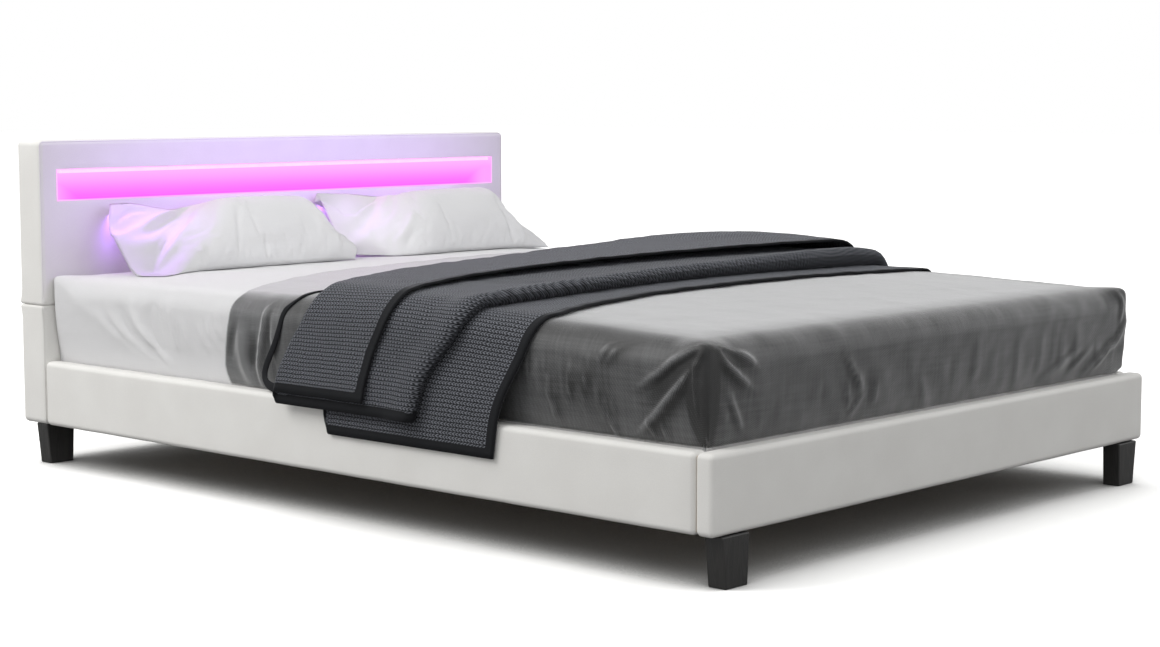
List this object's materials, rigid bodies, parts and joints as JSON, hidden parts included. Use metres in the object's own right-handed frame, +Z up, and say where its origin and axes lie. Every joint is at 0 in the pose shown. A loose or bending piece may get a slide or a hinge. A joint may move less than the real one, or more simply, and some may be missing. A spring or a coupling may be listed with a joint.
{
  "type": "leather bed",
  "caption": "Low platform bed padded in white leather, with a lit niche in its headboard, block legs, mattress, pillows, satin cover and a folded knitted throw.",
  "frame": {"origin": "middle of the bed's footprint, on the floor", "axes": "+Y towards the headboard, +X to the right of someone who stands at the foot and looks at the headboard, +Z up"},
  "size_m": [1.6788, 2.172, 0.788],
  "materials": {
    "leather": "satin",
    "board": "matte",
    "backing": "matte",
    "steel": "satin",
    "black_block": "satin",
    "pine": "matte",
    "white_plastic": "gloss",
    "diffuser": "satin",
    "led": "satin",
    "dark_plastic": "matte",
    "white_cotton": "matte",
    "satin": "satin",
    "knit": "matte"
  },
  "bodies": {
    "frame": {"headboard_upper_cover": "leather", "headboard_lower_cover": "leather", "headboard_upper_core": "board", "headboard_lower_core": "board", "headboard_upper_back": "backing", "headboard_lower_back": "backing", "headboard_tongue_left": "steel", "headboard_tongue_right": "steel", "niche_tray": "white_plastic", "led_diffuser": "diffuser", "led_strip": "led", "led_controller": "dark_plastic", "led_wire": "dark_plastic", "side_rail_left_cover": "leather", "side_rail_left_core": "board", "side_rail_right_cover": "leather", "side_rail_right_core": "board", "foot_rail_cover": "leather", "foot_rail_core": "board", "corner_bracket_foot_left": "steel", "bolt_foot_left_side": "steel", "bolt_foot_left_end": "steel", "leg_foot_left": "black_block", "corner_bracket_foot_right": "steel", "bolt_foot_right_side": "steel", "bolt_foot_right_end": "steel", "leg_foot_right": "black_block", "corner_bracket_head_left": "steel", "bolt_head_left_side": "steel", "bolt_head_left_end": "steel", "leg_head_left": "black_block", "corner_bracket_head_right": "steel", "bolt_head_right_side": "steel", "bolt_head_right_end": "steel", "leg_head_right": "black_block", "slat_ledge_left": "pine", "slat_ledge_right": "pine", "centre_beam": "pine", "beam_hanger_foot": "steel", "centre_leg_foot": "black_block", "beam_hanger_head": "steel", "centre_leg_head": "black_block", "slat_01": "pine", "slat_02": "pine", "slat_03": "pine", "slat_04": "pine", "slat_05": "pine", "slat_06": "pine", "slat_07": "pine", "slat_08": "pine", "slat_09": "pine", "slat_10": "pine"},
    "mattress": {"mattress": "white_cotton", "satin_cover": "satin"},
    "pillow_left": {"pillow_left": "white_cotton"},
    "pillow_right": {"pillow_right": "white_cotton"},
    "throw": {"knitted_throw": "knit"},
    "glide_foot": {"levelling_glide_foot": "dark_plastic"},
    "glide_head": {"levelling_glide_head": "dark_plastic"}
  },
  "joints": [
    {"name": "mattress_lift", "type": "slide", "parent": "frame", "child": "mattress", "axis": [0, 0, 1], "range_m": [0, 0.7]},
    {"name": "pillow_left_lift", "type": "slide", "parent": "mattress", "child": "pillow_left", "axis": [0, 0, 1], "range_m": [0, 0.4]},
    {"name": "pillow_right_lift", "type": "slide", "parent": "mattress", "child": "pillow_right", "axis": [0, 0, 1], "range_m": [0, 0.4]},
    {"name": "throw_lift", "type": "slide", "parent": "mattress", "child": "throw", "axis": [0, 0, 1], "range_m": [0, 0.4]},
    {"name": "glide_foot_rise", "type": "slide", "parent": "frame", "child": "glide_foot", "axis": [0, 0, 1], "range_m": [0, 0.02]},
    {"name": "glide_head_rise", "type": "slide", "parent": "frame", "child": "glide_head", "axis": [0, 0, 1], "range_m": [0, 0.02]}
  ]
}
